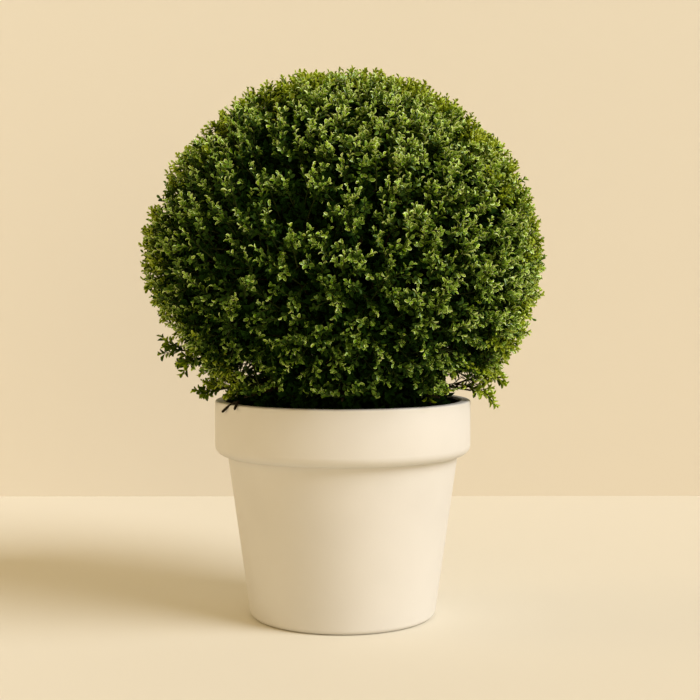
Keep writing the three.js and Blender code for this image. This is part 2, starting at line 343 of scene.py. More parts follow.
def makePot():
    rings = [
        (pot["footRadius"], 0),
        (pot["bodyTopRadius"], bandBottom),
        (pot["rimRadius"], bandBottom),
        (pot["rimRadius"], pot["height"]),
        *potInside(),
    ]
    piece = turnedPiece("creamPot", pot["sides"], rings)
    rounds = [
        (rings[0], pot["footRound"]),
        (rings[2], pot["lipRound"]),
        (rings[3], pot["rimRound"]),
        (rings[4], pot["innerRound"]),
    ]
    for (radius, height), size in rounds:
        selectRing(piece, radius, height)
        bpy.ops.mesh.bevel(offset=size, segments=pot["roundSegments"], affect="EDGES", clamp_overlap=False)
    bpy.ops.mesh.select_all(action="SELECT")
    bpy.ops.mesh.remove_doubles(threshold=pot["mergeWithin"])
    bpy.ops.mesh.normals_make_consistent(inside=False)
    bpy.ops.object.mode_set(mode="OBJECT")
    bpy.ops.object.shade_smooth_by_angle(angle=pot["smoothUnder"])
    piece.data.materials.append(mottledMaterial("creamPot", pot["clay"]))
    piece.data.materials.append(mottledMaterial("stainedAndShadedClay", pot["stainAndShade"]))
    # the inside is painted dark up to the rim's round: a soil stain and painted shade under the ball
    for face in piece.data.polygons:
        inward = face.normal.x * face.center.x + face.normal.y * face.center.y < 0
        if inward and face.center.z < pot["height"] - pot["innerRound"]:
            face.material_index = 1
    finishPiece(piece, "pot", "pot")
    print("pot", len(piece.data.polygons), "faces")


# soil: fills the pot, with a crumbly top and loose bits on it
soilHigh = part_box("soil")[1]
soil = {
    "top": soilHigh.z,
    "fallAtWall": 0.003,
    "sides": 96,
    "rings": 26,
    "gap": 0.0006,  # to the pot's wall
    "floorGap": 0.0003,
    "lump": 0.006,
    "lumpSize": 0.016,
    "lumpDetail": 3,
    "lumpMiddle": 0.6,
    "levelEdge": 0.001,
    "bits": 1500,
    "bitSize": 0.00294,
    "bitSmallest": 0.35,
    "bitShape": (1.0, 0.6, 0.35),
    "bitSpread": 0.97,
    "bitRise": 0.0025,
    "look": {
        # tones kept near black: the soil's own dark and painted shade under the ball
        "tones": ((0.4, (0.0030, 0.0024, 0.0017)), (0.75, (0.0090, 0.0068, 0.0048))),
        "roughness": 0.95,
        "shine": 0.1,
        "noise": (260, 6, 0.65),
        "bump": (0.7, 0.002),
    },
    "seed": 12,
}


def addLumps(piece, edge, edgeRadius):
    # on the top only, inside the wall
    inner = [
        v.index for v in piece.data.vertices
        if v.co.z > edge - nearEnough and math.hypot(v.co.x, v.co.y) < edgeRadius - soil["levelEdge"]
    ]
    piece.vertex_groups.new(name="top").add(inner, 1.0, "REPLACE")
    texture = bpy.data.textures.new("soilLumps", "CLOUDS")
    texture.noise_scale = soil["lumpSize"]
    texture.noise_depth = soil["lumpDetail"]
    lumps = piece.modifiers.new("soilLumps", "DISPLACE")
    lumps.texture = texture
    lumps.strength = soil["lump"]
    lumps.mid_level = soil["lumpMiddle"]
    lumps.vertex_group = "top"
    bpy.ops.object.modifier_apply(modifier=lumps.name)


def makeSoilBits(edge, edgeRadius, material):
    # loose bits of bark: squashed octahedra, each turned its own way
    random = np.random.RandomState(soil["seed"])
    count = soil["bits"]
    radius = edgeRadius * soil["bitSpread"] * np.sqrt(random.rand(count))
    centre = ringPoints(radius, random.rand(count) * fullTurn, np.full(count, edge + soil["bitRise"]))
    turns = unit(random.normal(size=(count, 3, 3)))
    size = soil["bitSize"] * (soil["bitSmallest"] + random.rand(count, 1, 1)) * np.array(soil["bitShape"])
    corners = np.array([[1, 0, 0], [-1, 0, 0], [0, 1, 0], [0, -1, 0], [0, 0, 1], [0, 0, -1]], float)
    upper = [[0, 2, 4], [2, 1, 4], [1, 3, 4], [3, 0, 4]]
    lower = [[2, 0, 5], [1, 2, 5], [3, 1, 5], [0, 3, 5]]
    points = centre[:, None] + np.einsum("nki,nij->nkj", corners[None] * size, turns)
    faces = np.array(upper + lower)[None] + len(corners) * np.arange(count)[:, None, None]
    bits = joinedMesh("soilBits", points.reshape(-1, 3), faces.reshape(-1, 3), material, False)
    finishPiece(bits, "soil")


def makeSoil():
    (rimInner, rimTop), (innerBody, bodyTop), (innerFoot, floor) = potInside(soil["gap"])
    edge = soil["top"] - soil["fallAtWall"]
    edgeRadius = between(innerBody, rimInner, (edge - bodyTop) / (rimTop - bodyTop))
    rings = [(innerFoot, floor + soil["floorGap"]), (innerBody, bodyTop), (edgeRadius, edge)]
    for k in range(1, soil["rings"]):
        inward = 1 - k / soil["rings"]
        rings.append((edgeRadius * inward, edge + soil["fallAtWall"] * min(1, 2 * (1 - inward))))
    piece = turnedPiece("pottingSoil", soil["sides"], rings)
    bpy.ops.mesh.select_all(action="SELECT")
    bpy.ops.mesh.normals_make_consistent(inside=False)
    bpy.ops.object.mode_set(mode="OBJECT")
    addLumps(piece, edge, edgeRadius)
    bpy.ops.object.shade_smooth()
    material = mottledMaterial("soilWithPaintedShade", soil["look"])
    piece.data.materials.append(material)
    finishPiece(piece, "soil", "soil")
    makeSoilBits(edge, edgeRadius, material)
    print("soil", len(piece.data.polygons), "faces and", soil["bits"], "bits")


def sidesOf(along, isSteep):
    # two ways across, worked out from x where a limb is steep and from z elsewhere
    across = unit(np.cross(along, np.where(isSteep, (1.0, 0.0, 0.0), up)))
    return across, np.cross(along, across)


# limbs as tubes: lines are count x steps x 3, radii steps or steps x sides
def tubes(lines, radii, sides, closeRoot=False):
    count, steps = lines.shape[:2]
    along = unit(np.gradient(lines, axis=1))
    across, side = sidesOf(along, np.abs(unit(along.mean(1)))[:, None, 2:] > steepLimb)
    angle = np.arange(sides) * fullTurn / sides
    ring = across[:, :, None] * np.cos(angle)[:, None] + side[:, :, None] * np.sin(angle)[:, None]
    wide = radii.reshape(steps, -1, 1)
    points = (lines[:, :, None] + ring * wide).reshape(count, -1, 3)
    tips = lines[:, -1] + along[:, -1] * wide[-1].mean()
    points = np.concatenate([points, tips[:, None]], 1)
    step, turn = np.meshgrid(np.arange(steps - 1), np.arange(sides), indexing="ij")
    a = step * sides + turn
    b = step * sides + (turn + 1) % sides
    wall = np.stack([a, b, b + sides, a, b + sides, a + sides], -1).reshape(-1, 3)
    last = (steps - 1) * sides + np.arange(sides)
    cap = np.stack([last, np.roll(last, -1), np.full(sides, steps * sides)], 1)
    faces = [wall, cap]
    if closeRoot:
        points = np.concatenate([points, lines[:, :1]], 1)
        first = np.arange(sides)
        faces.append(np.stack([np.roll(first, -1), first, np.full(sides, steps * sides + 1)], 1))
    faces = np.concatenate(faces)[None] + points.shape[1] * np.arange(count)[:, None, None]
    return points.reshape(-1, 3), faces.reshape(-1, 3)


def bezier(lines, shares):
    # lines hold three control points each, and shares where to read them
    a, b, c = (lines[:, k, None] for k in range(3))
    t = shares[..., None]
    points = a * (1 - t) ** 2 + 2 * b * t * (1 - t) + c * t ** 2
    return points, unit((b - a) * (1 - t) + (c - b) * t)


def bezierAt(lines, share):
    points, along = bezier(lines, np.array([share]))
    return points[:, 0], along[:, 0]


def twigTubes(lines, rootRadius, tipRadius, steps, sides):
    shares = np.linspace(0, 1, steps)
    return tubes(bezier(lines, shares)[0], between(rootRadius, tipRadius, shares), sides)


def joinParts(parts):
    points, faces, offset = [], [], 0
    for partPoints, partFaces in parts:
        points.append(partPoints)
        faces.append(partFaces + offset)
        offset += len(partPoints)
    return np.concatenate(points), np.concatenate(faces)


# stem and boughs with bark relief, on the same lines as the solids
stemLow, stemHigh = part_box("stem")
wood = {
    "steps": 40,
    "stemSides": 36,
    "stemLean": 0.006,
    "stemBends": (0.4, 0.6),  # heights of the curve's handles, as shares
    "stemRadius": 0.012,
    "stemTipRadius": 0.009,
    "rootFlare": 0.011,
    "flareFade": 5,
    "buttresses": 5,
    "buttressDepth": 0.35,
    "boughs": 8,
    "boughSides": 14,
    "boughRadius": 0.006,
    "boughTipRadius": 0.0034,
    "boughReach": 0.112,
    "boughTipHeight": 0.290,
    "boughStartHeights": (0.272, 0.285),
    "boughElbowRise": 0.006,
    "boughElbowShare": 0.55,
    "bark": {
        "tones": ((0.35, (0.045, 0.032, 0.022)), (0.7, (0.13, 0.098, 0.068))),
        "roughness": 0.88,
        "shine": 0.5,
        "noise": (320, 6, 0.65),
        "bump": (0.6, 0.0015),
    },
}
relief = {
    "stemLength": 0.042,
    "boughLength": 0.12,
    "ridges": (5, 8, 13),
    "ridgeHeight": 0.06,
    "phases": 6,  # radians
    "wander": 1.5,
    "wanderPitch": 60,
    "knots": 4,
    "knotHeight": 0.10,
    "knotLength": 0.004,
    "knotWidth": 0.5,
    "stemSeed": 3,
    "boughSeed": 20,
}


def stemLine(shares):
    height = stemHigh.z - stemLow.z
    lowBend, highBend = wood["stemBends"]
    a = np.array([0, 0, stemLow.z])
    b = np.array([0, 0, stemLow.z + lowBend * height])
    c = np.array([wood["stemLean"], 0, stemLow.z + highBend * height])
    d = np.array([wood["stemLean"], 0, stemHigh.z])
    t = shares[..., None]
    return a * (1 - t) ** 3 + 3 * b * t * (1 - t) ** 2 + 3 * c * t ** 2 * (1 - t) + d * t ** 3


def boughLines():
    index = np.arange(wood["boughs"])
    angle = index * fullTurn / wood["boughs"]
    heights = np.array(wood["boughStartHeights"])[index % 2]
    starts = stemLine((heights - stemLow.z) / (stemHigh.z - stemLow.z))
    tips = ringPoints(wood["boughReach"], angle, np.full(len(index), wood["boughTipHeight"]))
    elbows = between(starts, tips, wood["boughElbowShare"])
    elbows[:, 2] = wood["boughTipHeight"] + wood["boughElbowRise"]
    return np.stack([starts, elbows, tips], 1)


def barkRelief(steps, sides, length, seed):
    # ridges that wander along the limb, and a few knots, as a share of the radius
    random = np.random.RandomState(seed)
    share = np.linspace(0, 1, steps)[:, None]
    angle = (np.arange(sides) * fullTurn / sides)[None]
    height = np.zeros((steps, sides))
    for ridges in relief["ridges"]:
        twist, phase = random.rand(2) * relief["phases"]
        wander = twist + relief["wander"] * np.sin(share * length * relief["wanderPitch"] + phase)
        finer = math.sqrt(ridges / relief["ridges"][0])
        height += relief["ridgeHeight"] * np.sin(ridges * angle + wander) / finer
    for k in range(relief["knots"]):
        middle, turn = random.rand(), random.rand() * fullTurn
        alongKnot = (share - middle) * length / relief["knotLength"]
        roundKnot = np.angle(np.exp(1j * (angle - turn))) / relief["knotWidth"]
        height += relief["knotHeight"] * np.exp(-alongKnot ** 2 - roundKnot ** 2)
    return 1 + height


def makeWood():
    material = mottledMaterial("hollyBark", wood["bark"])
    steps, sides = wood["steps"], wood["stemSides"]
    share = np.linspace(0, 1, steps)
    base = between(wood["stemRadius"], wood["stemTipRadius"], share)
    flare = wood["rootFlare"] * np.exp(-wood["flareFade"] * share)
    buttress = 1 + wood["buttressDepth"] * np.cos(wood["buttresses"] * np.arange(sides) * fullTurn / sides)
    radii = base[:, None] + flare[:, None] * buttress[None]
    radii = radii * barkRelief(steps, sides, relief["stemLength"], relief["stemSeed"])
    stem = joinedMesh("barkStem", *tubes(stemLine(share)[None], radii, sides, True), material)
    finishPiece(stem, "bark", "stem")
    sides = wood["boughSides"]
    taper = between(wood["boughRadius"], wood["boughTipRadius"], share)
    parts = []
    for seed, line in enumerate(boughLines(), relief["boughSeed"]):
        radii = taper[:, None] * barkRelief(steps, sides, relief["boughLength"], seed)
        parts.append(tubes(bezier(line[None], share)[0], radii, sides, True))
    boughs = joinedMesh("barkBoughs", *joinParts(parts), material)
    finishPiece(boughs, "bark", *[f"bough_{k + 1}" for k in range(wood["boughs"])])
    print("bark", len(stem.data.polygons) + len(boughs.data.polygons), "faces")


# crown: limbs, branches and shoots, each level growing from the one before
crownLow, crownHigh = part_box("crown")
crown = {
    "radius": 0.2500,
    "halfHeight": 0.2345,
    "centreHeight": crownHigh.z - 0.2415,
    "lowest": -0.68,  # of the shoots' directions, where 1 is straight up
    "lowFrom": -0.08,  # below this the ball is drawn in
    "lowDrawnIn": 0.095,
    "leftDrawnIn": 0.08,
    "dents": [
        # direction, width in radians and depth of places where the ball is flatter or fuller
        ((-0.80, 0.0, 0.60), 0.36, 0.006),
        ((-0.12, 0.0, 1.0), 0.40, -0.003),
        ((1.0, 0.0, 0.15), 0.45, 0.005),
        ((-1.0, 0.0, -0.10), 0.40, -0.004),
    ],
    "limbs": 15,
    "limbLowest": -0.25,
    "limbReach": 0.50,
    "limbDrawnIn": 0.55,
    "branches": 130,
    "branchLowest": -0.55,
    "branchReach": 0.72,
    "branchShares": (0.55, 0.7, 0.85, 1.0),  # where on a limb they may start
    "woodJitter": 0.05,
    "shoots": 1760,
    "shootJitter": 0.030,
    "shootShares": (0.5, 0.65, 0.8, 0.9, 1.0),
    "shootLength": 0.062,
    "shootLengths": (0.8, 1.15),
    "outward": 0.62,
    "upward": 0.45,
    "droop": 1.2,
    "droopBy": 0.6,
    "aside": 0.85,
    "swing": (0.1, 1.0),
    "rootTurn": 0.35,
    "thinFrom": -0.52,  # below this there are fewer shoots
    "thinOver": 0.12,
    "thinShare": 0.35,
    "unevenness": 0.010,
    "unevenPower": 1.5,  # more shoots near the outline than below it
    "hollows": 135,
    "hollowLowest": -0.45,
    "hollowJitter": 0.12,
    "hollowSize": (0.05, 0.105),
    "hollowEdge": 1.25,
    "hollowBare": 0.55,
    "hollowDepth": 0.020,
    "sunnySide": 0.50,  # nearer to the sun than this there are no hollows
    "shadeSprigs": ((1400, 0.76, 0.87), (520, 0.42, 0.76)),  # how many, and how far out
    "shadeLowest": -0.66,
    "shadeJitter": 0.03,
    "shadeRise": 0.006,
    "shadeWander": 0.35,
    "shadeLength": 0.034,
    "shadeShares": (0.4, 0.6, 0.8, 1.0),
    "seed": 5,
}
crownMiddle = np.array([0, 0, crown["centreHeight"]])
crownSize = np.array([crown["radius"], crown["radius"], crown["halfHeight"]])
masses = ["crown"] + [f"skirt_{k + 1}" for k in range(wood["boughs"])]


def outlineShare(points):
    # 1 on the clipped outline, less inside it
    return np.linalg.norm((points - crownMiddle) / crownSize, axis=-1)


def drawnIn(directions):
    # the low part is drawn in towards the stem, more at the left
    low = (crown["lowFrom"] - directions[..., 2:3]) / (crown["lowFrom"] - crown["lowest"])
    return 1 - (crown["lowDrawnIn"] - crown["leftDrawnIn"] * directions[..., :1]) * np.clip(low, 0, 1)


def depthUnder(points):
    # how deep a point lies under the drawn-in outline, as a share of the radius
    away = (points - crownMiddle) / crownSize
    away[..., :2] /= drawnIn(unit(away))
    return 1 - np.linalg.norm(away, axis=-1)


def onOutline(directions, share):
    return crownMiddle + directions * crownSize * np.asarray(share)[..., None]


def spiralDirections(count, lowest, random, jitter):
    height = 1 - (1 - lowest) * (np.arange(count) + 0.5) / count
    ring = np.sqrt(1 - height ** 2)
    turn = np.arange(count) * goldenTurn
    spread = np.stack([np.cos(turn) * ring, np.sin(turn) * ring, height], 1)
    return unit(spread + random.normal(scale=jitter, size=spread.shape))


def angleTo(directions, ways):
    return np.arccos(np.clip(directions @ ways, -1, 1))


def linkedTo(lines, points, shares):
    # a curved twig to each point from the nearest of the places read along the lines
    places, along = bezier(lines, np.array(shares))
    places, along = places.reshape(-1, 3), along.reshape(-1, 3)
    nearest = np.array([np.argmin(((places - point) ** 2).sum(1)) for point in points])
    starts = places[nearest]
    gap = np.linalg.norm(points - starts, axis=1, keepdims=True)
    elbows = starts + unit(along[nearest] + unit(points - starts)) * gap * 0.5
    return np.stack([starts, elbows, points], 1)


def innerWood(random):
    # limbs from the stem's top, then branches from the nearest limb
    foot = np.array([wood["stemLean"], 0, stemHigh.z])
    directions = spiralDirections(crown["limbs"], crown["limbLowest"], random, crown["woodJitter"])
    ends = onOutline(directions, crown["limbReach"])
    elbows = between(foot, ends, 0.5)
    elbows[:, :2] *= crown["limbDrawnIn"]
    limbs = np.stack([foot[None].repeat(len(ends), 0), elbows, ends], 1)
    directions = spiralDirections(crown["branches"], crown["branchLowest"], random, crown["woodJitter"])
    return limbs, linkedTo(limbs, onOutline(directions, crown["branchReach"]), crown["branchShares"])


def crownShoots(random):
    directions = spiralDirections(crown["shoots"], crown["lowest"], random, crown["shootJitter"])
    # hollows between the sprays, away from the sun: bare inside, with lower shoots at their edges
    middles = spiralDirections(crown["hollows"], crown["hollowLowest"], random, crown["hollowJitter"])
    middles = middles[middles @ unit(np.array(studio["keyFrom"])) < crown["sunnySide"]]
    sizes = random.uniform(*crown["hollowSize"], len(middles))
    apart = angleTo(directions, middles.T) / sizes
    sunk = np.clip(crown["hollowEdge"] - apart.min(1), 0, 1)
    keep = sunk < crown["hollowBare"]
    # fewer shoots under the ball
    low = np.clip((crown["thinFrom"] - directions[:, 2]) / crown["thinOver"], 0, 1)
    keep &= random.rand(len(directions)) > crown["thinShare"] * low
    directions, sunk = directions[keep], sunk[keep]
    count = len(directions)
    depth = crown["hollowDepth"] * sunk
    depth += crown["unevenness"] * random.rand(count) ** crown["unevenPower"]
    for way, width, dent in crown["dents"]:
        depth += dent * np.exp(-(angleTo(directions, unit(np.array(way))) / width) ** 2)
    tips = onOutline(directions, 1 - depth / crown["radius"])
    tips[:, :2] *= drawnIn(directions)
    # they grow outwards and up, less so below the middle, and each swings aside
    normal = unit(directions / crownSize)
    aside = random.normal(size=directions.shape)
    aside = unit(aside - normal * (aside * normal).sum(1, keepdims=True))
    below = np.clip(-directions[:, 2:3] / crown["droopBy"], 0, 1)
    lift = crown["upward"] * (1 - crown["droop"] * below)
    swing = crown["aside"] * random.uniform(*crown["swing"], (count, 1))
    growing = unit(normal * crown["outward"] + up * lift + aside * swing)
    length = crown["shootLength"] * random.uniform(*crown["shootLengths"], (count, 1))
    roots = tips - unit(growing + crown["rootTurn"] * normal) * length
    elbows = tips - growing * length * 0.5
    return np.stack([roots, elbows, tips], 1)


def shadeSprigs(random):
    # growth deep in the ball and under it, whose leaves take the near-black painted-shade tint
    sprigs = []
    for count, low, high in crown["shadeSprigs"]:
        directions = spiralDirections(count, crown["shadeLowest"], random, crown["shadeJitter"])
        ends = onOutline(directions, random.uniform(low, high, count))
        ends[:, 2] = np.maximum(ends[:, 2], crownLow.z + crown["shadeRise"])
        wander = random.normal(scale=crown["shadeWander"], size=directions.shape)
        roots = ends - unit(directions + wander) * crown["shadeLength"]
        sprigs.append(np.stack([roots, (roots + ends) / 2, ends], 1))
    return np.concatenate(sprigs)


# skirt: open sprays at the lower edge, which go on from the boughs
skirt = {
    "stemLength": 0.050,
    "stemElbow": 0.4,
    "droop": 0.08,
    "twigs": 7,
    "twigShares": (0.30, 1.0),
    "twigLength": 0.036,
    "twigLengths": (0.75, 1.2),
    "spread": 0.95,
    "spreadRoot": 1.1,
    "spreadFall": 0.5,
    "spreads": (0.6, 1.25),
    "lifts": (0.45, 0.15, 0.0, 0.30),
    "liftVariety": 0.12,
    "forward": 0.4,
    "reach": 0.97,  # of the twigs' tips, as a share of the ball's outline
    "floor": potHigh.z + 0.017,
    "floorClearance": 0.004,
    "shadeSprigs": 460,
    "shadeRing": (0.03, 0.130),
    "shadeFloor": soilHigh.z + 0.010,
    "shadeTop": crownLow.z + 0.012,
    "shadeLength": 0.012,
    "shadeWander": (1, 1, 0.3),  # more level than steep
    "shadeRoots": (0.8, 0.8, 1),  # nearer to the stem
    "linkShares": (0.2, 0.4, 0.6, 0.8, 1.0),
    "highLinkShares": (0.6, 0.8, 1.0),
    "linkHeight": 0.31,  # loose sprays that start higher grow from the crown's branches
    "seed": 31,
}
# single sprays that stand out of the lower edge: start, elbow, tip
looseSprays = np.array([
    [(-0.185, -0.020, 0.3320), (-0.205, -0.020, 0.3325), (-0.219, -0.020, 0.3375)],
    [(-0.171, -0.030, 0.3235), (-0.186, -0.030, 0.3225), (-0.196, -0.030, 0.3160)],
    [(-0.134, -0.040, 0.2890), (-0.156, -0.040, 0.2880), (-0.170, -0.040, 0.2800)],
    [(-0.112, -0.052, 0.2900), (-0.128, -0.058, 0.2870), (-0.141, -0.062, 0.2790)],
    [(-0.110, -0.012, 0.2890), (-0.127, -0.016, 0.2850), (-0.143, -0.020, 0.2770)],
    [(-0.110, 0.030, 0.2890), (-0.128, 0.036, 0.2845), (-0.146, 0.040, 0.2765)],
    [(0.140, -0.020, 0.2910), (0.172, -0.020, 0.3040), (0.200, -0.020, 0.2985)],
    [(0.140, -0.020, 0.2910), (0.165, -0.030, 0.2890), (0.185, -0.030, 0.2760)],
    [(0.098, -0.085, 0.2900), (0.102, -0.092, 0.2820), (0.104, -0.094, 0.2725)],
    [(0.120, 0.130, 0.3050), (0.140, 0.150, 0.3060), (0.152, 0.160, 0.2960)],
    [(-0.090, 0.150, 0.2980), (-0.102, 0.172, 0.2990), (-0.110, 0.186, 0.2900)],
    [(0.010, 0.185, 0.3150), (0.014, 0.210, 0.3150), (0.016, 0.228, 0.3220)],
])


def skirtShoots(random):
    # a drooping stem from each bough's tip, with leafy twigs by turns
    tips, along = bezierAt(boughLines(), 1.0)
    elbows = tips + along * skirt["stemLength"] * skirt["stemElbow"]
    ends = elbows + unit(along - up * skirt["droop"]) * skirt["stemLength"] * (1 - skirt["stemElbow"])
    stems = np.stack([tips, elbows, ends], 1)
    count = len(stems)
    first, last = skirt["twigShares"]
    shoots = []
    for k in range(skirt["twigs"]):
        share = first + (last - first) * k / (skirt["twigs"] - 1)
        start, ahead = bezierAt(stems, share)
        narrowing = skirt["spreadRoot"] - skirt["spreadFall"] * share
        spread = skirt["spread"] * narrowing * random.uniform(*skirt["spreads"], count)
        spread *= 1 if k % 2 else -1
        c, s = np.cos(spread), np.sin(spread)
        x, y, z = ahead.T
        lift = skirt["lifts"][k % len(skirt["lifts"])] + giveOrTake(random, skirt["liftVariety"], count)
        leaving = np.stack([x * c - y * s, x * s + y * c, z + lift], 1)
        length = skirt["twigLength"] * random.uniform(*skirt["twigLengths"], (count, 1))
        end = start + unit(leaving) * length
        end[:, 2] = np.maximum(end[:, 2], skirt["floor"] + skirt["floorClearance"])
        elbow = start + unit(leaving + skirt["forward"] * ahead) * length * 0.5
        shoots.append(np.stack([start, elbow, end], 1))
    shoots = np.concatenate(shoots)
    return stems, shoots[outlineShare(shoots[:, 2]) < skirt["reach"]]


def skirtShade(random):
    # growth over the soil, between the stem and the skirt, with near-black leaves as painted shade
    count = skirt["shadeSprigs"]
    low, high = skirt["shadeRing"]
    radius = np.sqrt(random.uniform(low ** 2, high ** 2, count))
    turn = random.rand(count) * fullTurn
    ends = ringPoints(radius, turn, random.uniform(skirt["shadeFloor"], skirt["shadeTop"], count))
    wander = unit(random.normal(size=ends.shape) * skirt["shadeWander"])
    roots = ends * skirt["shadeRoots"] - wander * skirt["shadeLength"]
    return np.stack([roots, (roots + ends) / 2, ends], 1)


def growTwigs(random):
    # all of the foliage's wood as curves, by kind
    limbs, branches = innerWood(random)
    shoots = crownShoots(random)
    stems, lowShoots = skirtShoots(np.random.RandomState(skirt["seed"]))
    shade, lowShade = shadeSprigs(random), skirtShade(random)
    lowWood = np.concatenate([boughLines(), stems])
    isHigh = looseSprays[:, 0, 2] > skirt["linkHeight"]
    return {
        "limbs": limbs,
        "branches": branches,
        "links": linkedTo(branches, shoots[:, 0], crown["shootShares"]),
        "skirtStems": stems,
        "shadeSprigs": np.concatenate([shade, lowShade]),
        "shadeLinks": np.concatenate([
            linkedTo(branches, shade[:, 0], crown["shadeShares"]),
            linkedTo(lowWood, lowShade[:, 0], skirt["linkShares"]),
        ]),
        "looseLinks": np.concatenate([
            linkedTo(lowWood, looseSprays[~isHigh, 0], skirt["linkShares"]),
            linkedTo(branches, looseSprays[isHigh, 0], skirt["highLinkShares"]),
        ]),
        "looseSprays": looseSprays,
        "shoots": np.concatenate([shoots, lowShoots, looseSprays]),
    }


# side twigs, by turns round each shoot and more of them on the sunny side
sideTwig = {
    "count": 4,
    "shares": (0.32, 0.76),
    "shareVariety": 0.05,
    "length": 0.022,
    "rootLength": 1.2,
    "lengthFall": 0.6,
    "lengths": (0.7, 1.15),
    "splay": math.radians(42),
    "splayVariety": 0.2,
    "forward": 0.35,
    "kept": 0.55,
    "keptWay": np.array([0.40, 0.0, 0.36]),
    "keptBack": 0.38,
    "keptLeast": 0.35,
    "reach": 1.015,
    "rimClearance": 0.008,
}


def leavingTwig(along, turn, splay):
    # directions at this turn round a twig and this angle from it
    across, side = sidesOf(along, np.abs(along[..., 2:]) > steepTwig)
    outward = across * np.cos(turn)[..., None] + side * np.sin(turn)[..., None]
    return along * np.cos(splay)[..., None] + outward * np.sin(splay)[..., None]


def growSideTwigs(shoots, place, back, random):
    count = sideTwig["count"]
    shape = (len(shoots), count)
    shares = np.linspace(*sideTwig["shares"], count) + giveOrTake(random, sideTwig["shareVariety"], shape)
    starts, along = bezier(shoots, shares)
    turn = random.rand(len(shoots), 1) * fullTurn + np.arange(count) * goldenTurn
    splay = sideTwig["splay"] + giveOrTake(random, sideTwig["splayVariety"], shape)
    leaving = leavingTwig(along, turn, splay)
    length = sideTwig["length"] * (sideTwig["rootLength"] - sideTwig["lengthFall"] * shares)
    length = (length * random.uniform(*sideTwig["lengths"], shape))[..., None]
    ends = starts + unit(leaving + sideTwig["forward"] * along) * length
    elbows = starts + leaving * length * 0.5
    sides = np.stack([starts, elbows, ends], 2).reshape(-1, 3, 3)
    parents = np.arange(len(shoots)).repeat(count)
    # a share stays of those in the outline and over the rim, and on loose sprays all that clear the rim
    share = sideTwig["kept"] + place @ sideTwig["keptWay"] + sideTwig["keptBack"] * back
    share = np.clip(share, sideTwig["keptLeast"], 1)
    x, y, z = sides[:, 2].T
    isLow = z <= skirt["floor"]
    keep = (outlineShare(sides[:, 2]) < sideTwig["reach"]) & ~isLow
    keep &= random.rand(len(sides)) < share[parents]
    overRim = np.hypot(x, y) < pot["rimRadius"] + sideTwig["rimClearance"]
    keep |= (parents >= len(shoots) - len(looseSprays)) & ~(overRim & isLow)
    return sides[keep], parents[keep]


# leaves: points across and along a leaf of length 1, and how leaves stand on a twig
leafShape = {
    "root": (0.0, 0.0),
    "bladeTip": (0.0, 0.92),
    "tip": (0.0, 1.0),
    "blade": [(0.395, 0.575), (0.295, 0.85)],
    "edge": [(0.50, 0.58), (0.37, 0.89)],
    "shade": [(0.05, 0.12), (0.5, 0.66)],
    "width": 0.49,
    "cup": 0.24,
    "curl": 0.13,
}
leafing = {
    "lowSplay": math.radians(58),
    "tipSplay": math.radians(24),
    "splayVariety": 0.22,
    "turnVariety": 0.3,
    "roll": 0.50,
    "rootLength": 1.08,
    "lengthFall": 0.34,
    "lengths": (0.82, 1.12),
    "looseScale": 1.3,
    "reach": 1.035,
    "soilClearance": 0.002,
    "floorOverlap": 0.003,
    "rimRise": 0.001,
    "rimClearance": 0.003,
}
leafKinds = {
    # leaves on a twig, where its first leaf stands, and their length
    "shoots": (17, 0.30, 0.0085),
    "sideTwigs": (8, 0.30, 0.008075),
    "shadeSprigs": (12, 0.15, 0.0185),
}
# places where the light wall shows through: front end, back end, radius
gaps = [
    ((-0.108, -0.170, 0.3190), (-0.134, 0.190, 0.2990), 0.0070),
    ((-0.096, -0.160, 0.3060), (-0.116, 0.190, 0.2830), 0.0055),
    ((-0.1317, -0.100, 0.3366), (-0.1565, 0.190, 0.3244), 0.0015),
    ((-0.1364, -0.100, 0.2942), (-0.1586, 0.150, 0.2767), 0.0030),
    ((0.128, -0.160, 0.3060), (0.152, 0.180, 0.2840), 0.0080),
    ((0.142, -0.160, 0.3006), (0.174, 0.180, 0.2774), 0.0120),
    ((0.1264, -0.100, 0.3366), (0.1502, 0.190, 0.3244), 0.0020),
]
gapMargin = 0.45  # round each gap, in lengths of the leaf there
leftInGaps = 0.12  # share of the leaves there that stay
pieceLimit = 190000  # triangles


def leavesOn(lines, count, first, leafLength, random):
    # leaves up each line by turns: root, ahead, sideways, face, length and how near the tip
    shape = (len(lines), count)
    roots, along = bezier(lines, np.linspace(first, 1.0, count))
    turn = random.rand(len(lines), 1) * fullTurn + np.arange(count) * goldenTurn
    turn = turn + giveOrTake(random, leafing["turnVariety"], shape)
    near = np.linspace(0, 1, count)
    splay = between(leafing["lowSplay"], leafing["tipSplay"], near)
    splay = splay + random.normal(scale=leafing["splayVariety"], size=shape)
    ahead = leavingTwig(along, turn, splay)
    face = unit(along - ahead * (along * ahead).sum(-1, keepdims=True))
    roll = random.normal(scale=leafing["roll"], size=shape)[..., None]
    face = face * np.cos(roll) + np.cross(ahead, face) * np.sin(roll)
    length = leafLength * (leafing["rootLength"] - leafing["lengthFall"] * near ** 2)
    length = length * random.uniform(*leafing["lengths"], shape)
    ways = (roots, ahead, np.cross(ahead, face), face)
    return [*(v.reshape(-1, 3) for v in ways), length.ravel(), np.tile(near, len(lines))]


def clearOfGaps(points, length, random):
    # false for most leaves that reach into a gap
    clear = np.ones(len(points), bool)
    for front, back, radius in gaps:
        front, back = np.array(front), np.array(back)
        along = unit(back - front)
        away = points - front - np.outer((points - front) @ along, along)
        reach = radius + gapMargin * length
        clear &= (np.linalg.norm(away, axis=1) > reach) | (random.rand(len(points)) < leftInGaps)
    return clear


